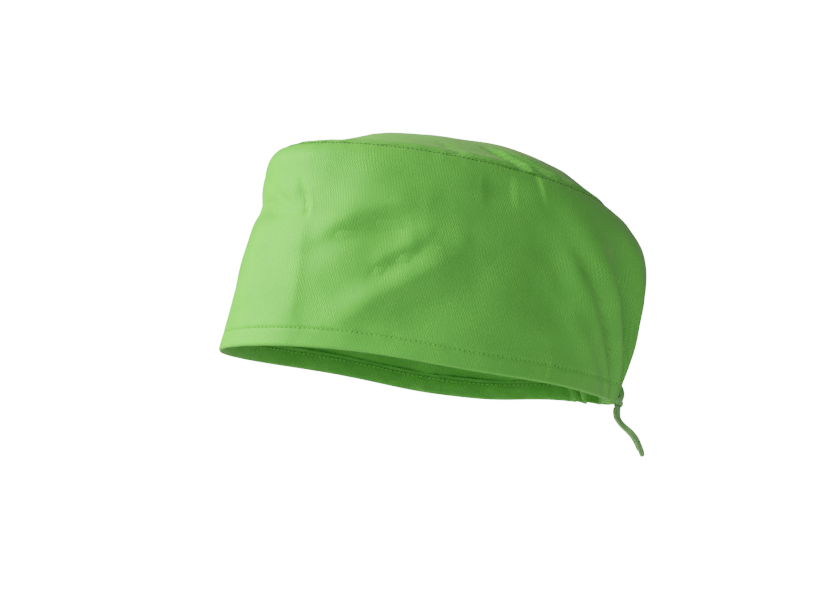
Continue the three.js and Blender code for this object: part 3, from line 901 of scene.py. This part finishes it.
# %% Tree that sews along a line
def stitch_turn(tree, given):
    """A turn along the line, upright on the cloth, with a small random swing."""
    tangent = added(tree, "GeometryNodeInputTangent")
    away = added(tree, "GeometryNodeInputNamedAttribute", {"Name": "away"}, data_type="FLOAT_VECTOR")
    along = added(tree, "FunctionNodeAlignRotationToVector", axis="X")
    upright = added(tree, "FunctionNodeAlignRotationToVector", axis="Z", pivot_axis="X")
    jitter = added(tree, "FunctionNodeRandomValue", {2: -STITCH_SWING, 3: STITCH_SWING}, data_type="FLOAT")
    swing = added(tree, "FunctionNodeAxisAngleToRotation", {"Axis": (0, 0, 1)})
    turned = added(tree, "FunctionNodeRotateRotation", rotation_space="LOCAL")
    links(tree, (tangent.outputs[0], along.inputs["Vector"]),
          (along.outputs[0], upright.inputs["Rotation"]),
          (away.outputs["Attribute"], upright.inputs["Vector"]), (given["Seed"], jitter.inputs["Seed"]),
          (jitter.outputs[1], swing.inputs["Angle"]), (upright.outputs[0], turned.inputs["Rotation"]),
          (swing.outputs[0], turned.inputs["Rotate By"]))
    return turned.outputs[0]


def sewing_tree():
    """Turns a line of points into a row of stitches. Returns the tree and its inputs' identifiers."""
    tree = bpy.data.node_groups.new("sew_along_line", "GeometryNodeTree")
    sockets = sewing_sockets(tree)
    given, result = added(tree, "NodeGroupInput").outputs, added(tree, "NodeGroupOutput")
    line = added(tree, "GeometryNodeMeshToCurve")
    steps = added(tree, "GeometryNodeResampleCurve", mode="LENGTH")
    size = added(tree, "FunctionNodeRandomValue", {2: STITCH_SIZES[0], 3: STITCH_SIZES[1]},
                 data_type="FLOAT")
    placed = added(tree, "GeometryNodeInstanceOnPoints")
    real = added(tree, "GeometryNodeRealizeInstances")
    coloured = added(tree, "GeometryNodeSetMaterial")
    links(tree, (given["Line"], line.inputs["Mesh"]), (line.outputs[0], steps.inputs["Curve"]),
          (given["Pitch"], steps.inputs["Length"]), (given["Seed"], size.inputs["Seed"]),
          (steps.outputs[0], placed.inputs["Points"]),
          (one_stitch(tree, given), placed.inputs["Instance"]),
          (stitch_turn(tree, given), placed.inputs["Rotation"]), (size.outputs[1], placed.inputs["Scale"]),
          (placed.outputs[0], real.inputs[0]), (real.outputs[0], coloured.inputs["Geometry"]),
          (given["Thread"], coloured.inputs["Material"]), (coloured.outputs[0], result.inputs[0]))
    return tree, sockets


SEWING, SEWING_SOCKETS = sewing_tree()

# %% Sew one seam
# Sizes of the short sunk stitches that carry the painted shade at each needle hole.
HOLE_SHADE_SIZES = {"Stitch Length": 0.0008, "Thread Radius": 0.00027, "Arch": -0.0002}


def row_of(name, line, away, sizes, thread):
    """One row along a closed line, as a plain mesh. sizes holds the tree's inputs by name."""
    mesh = bpy.data.meshes.new(name)
    count = len(line)
    mesh.from_pydata((line * MM).tolist(), [(i, (i + 1) % count) for i in range(count)], [])
    mesh.attributes.new("away", "FLOAT_VECTOR", "POINT").data.foreach_set(
        "vector", away.astype(np.float32).reshape(-1))
    guide = bpy.data.objects.new(name, mesh)
    bpy.context.scene.collection.objects.link(guide)
    modifier = guide.modifiers.new("sewing", "NODES")
    modifier.node_group = SEWING
    for key, value in sizes.items():
        modifier[SEWING_SOCKETS[key]] = value
    modifier[SEWING_SOCKETS["Thread"]] = thread
    made = bpy.data.meshes.new_from_object(guide.evaluated_get(bpy.context.evaluated_depsgraph_get()))
    bpy.data.objects.remove(guide)
    return made


def sewn(name, line, away, sizes, thread):
    """Stitches along a line, and between them short sunk stitches coloured almost black: painted shade at
    each needle hole.
    """
    stitches = bpy.data.objects.new(name, row_of(name + "_thread", line, away, sizes, thread))
    hole_shades = bpy.data.objects.new(name + "_hole_shades", row_of(
        name + "_hole_shade", line, away, {**sizes, **HOLE_SHADE_SIZES, "Shift": sizes["Pitch"] / 2}, needle_hole_shade))
    for row in (stitches, hole_shades):
        bpy.context.scene.collection.objects.link(row)
        row.data.shade_smooth()
    print(f"{name}: {len(stitches.data.polygons)} faces, holes {len(hole_shades.data.polygons)}")
    return [stitches, hole_shades]


def line_at(grid, run, distance):
    """The points of a grid at a distance run up each column, and the outward way there."""
    found = []
    for values in (grid, outward(grid)):
        picked = [[np.interp(distance, run[:, column], values[:, column, axis]) for axis in range(3)]
                  for column in range(grid.shape[1])]
        found.append(in_part_frame(np.array(picked)))
    return found


# %% The three rows of stitches
TOPSTITCH = {"Pitch": 0.0024, "Stitch Length": 0.0016, "Thread Radius": 0.00030, "Arch": 0.00045,
             "Seed": 5}
HEM_STITCH = {"Pitch": 0.0027, "Stitch Length": 0.0018, "Thread Radius": 0.00026, "Arch": 0.00040,
              "Seed": 8}
HEM_STITCH_ROW = HEM_ROWS - 1   # of the band's rows
INNER_STITCH_ROW = 7            # of the hem's section
crown_line, crown_away = line_at(band[::-1], from_seam[::-1], STITCH_LINE)
crown_stitches = sewn("crown_stitches", crown_line, crown_away, TOPSTITCH, crown_thread_shaded)
hem_stitches = sewn("hem_stitches", in_part_frame(band[HEM_STITCH_ROW]),
                    in_part_frame(outward(band)[HEM_STITCH_ROW]), HEM_STITCH, stitch_thread)
inner_stitches = sewn("hem_stitches_inside", in_part_frame(hem_grid[INNER_STITCH_ROW]),
                      in_part_frame(-hem_out), HEM_STITCH, stitch_thread)

# %% [markdown]
# ## Floor, light and the finished table
#
# Plain studio: a pale floor well below the cap, a pale surround and two large soft lights. The
# main light stands to the front of the cap, which is on the left of the picture. Floor and
# surround are paper white for the camera alone, because as much light from all round would drown
# the folds. A curve in the picture's settings presses the bright tones together, so that cloth
# near the light turns pale, as in a photograph, and not a glaring green.

# %% Floor
PAPER_WHITE = 4.0               # light that the picture shows as white
FLOOR_DROP = 0.55
FLOOR_REACH = 8.5
FLOOR_PALE = (0.9, 0.9, 0.9, 1)
GLOW_FROM = 2.0                 # metres from the cap where the floor starts to glow

floor_mesh = bpy.data.meshes.new("floor")
floor_mesh.from_pydata([(FLOOR_REACH * x, FLOOR_REACH * y, -FLOOR_DROP)
                        for x, y in ((-1, -1), (1, -1), (1, 1), (-1, 1))], [], [(0, 1, 2, 3)])
pale, paint = painted("pale_floor", {"Base Color": FLOOR_PALE, "Roughness": 0.9,
                                     "Emission Color": (1, 1, 1, 1)})
tree = pale.node_tree
place = added(tree, "ShaderNodeTexCoord")
reach = added(tree, "ShaderNodeVectorMath", operation="LENGTH")
fade = added(tree, "ShaderNodeMapRange", {"From Min": GLOW_FROM, "From Max": FLOOR_REACH,
                                          "To Min": 0.0, "To Max": PAPER_WHITE})
seen = added(tree, "ShaderNodeLightPath")
glow = added(tree, "ShaderNodeMath", operation="MULTIPLY")
links(tree, (place.outputs["Object"], reach.inputs[0]), (reach.outputs["Value"], fade.inputs["Value"]),
      (fade.outputs["Result"], glow.inputs[0]), (seen.outputs["Is Camera Ray"], glow.inputs[1]),
      (glow.outputs["Value"], paint.inputs["Emission Strength"]))
shown("floor", floor_mesh, pale)

# %% Lights and surround
LAMPS = {
    "key": {"compass": 0.0, "rise": 27.0, "distance": 2.0, "size": 1.4, "watts": 112.0},
    "fill": {"compass": 80.0, "rise": 16.0, "distance": 2.2, "size": 1.2, "watts": 11.5},
}
WARM = (1.0, 0.94, 0.88)
AMBIENT = 0.25
LAMP_AIM = Vector((0, 0, 0.05))

for name, lamp in LAMPS.items():
    light = bpy.data.lights.new(name, "AREA")
    light.shape = "DISK"
    light.size = lamp["size"]
    light.energy = lamp["watts"]
    light.color = WARM
    pointed(bpy.data.objects.new(name, light), seen_from(lamp["compass"], lamp["rise"], lamp["distance"]),
            LAMP_AIM)

world = bpy.data.worlds.new("surround")
world.use_nodes = True
surround = world.node_tree.nodes["Background"]
surround.inputs["Color"].default_value = (1, 1, 1, 1)
ray = added(world.node_tree, "ShaderNodeLightPath")
level = added(world.node_tree, "ShaderNodeMapRange", {"To Min": AMBIENT, "To Max": PAPER_WHITE})
links(world.node_tree, (ray.outputs["Is Camera Ray"], level.inputs["Value"]),
      (level.outputs["Result"], surround.inputs["Strength"]))
bpy.context.scene.world = world

# %% Tones of the picture
CURVE_PLACES = (0.025, 0.0625, 0.125, 0.1875, 0.25, 0.375, 0.5, 0.75)


def tone(share):
    """How bright the picture shows a light that is a share of paper white. White stays white."""
    light = share * PAPER_WHITE
    return (1 + 1 / PAPER_WHITE) * light / (light + 1)


look = bpy.context.scene.view_settings
look.view_transform = "Standard"
look.use_curve_mapping = True
look.curve_mapping.white_level = (PAPER_WHITE,) * 3
curve = look.curve_mapping.curves[3]
curve.points[0].location, curve.points[-1].location = (0, tone(0)), (1, tone(1))
for share in CURVE_PLACES:
    curve.points.new(share, tone(share))
look.curve_mapping.update()

# %% Each piece rides on the cap and stands for its node
for piece, node_name in ((side_band, "side_band"), (hem, "hem"), (top_panel, "top_panel")):
    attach(piece, "root")
    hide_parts(node_name)
for piece in (*crown_stitches, *hem_stitches, *inner_stitches):
    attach(piece, "root")
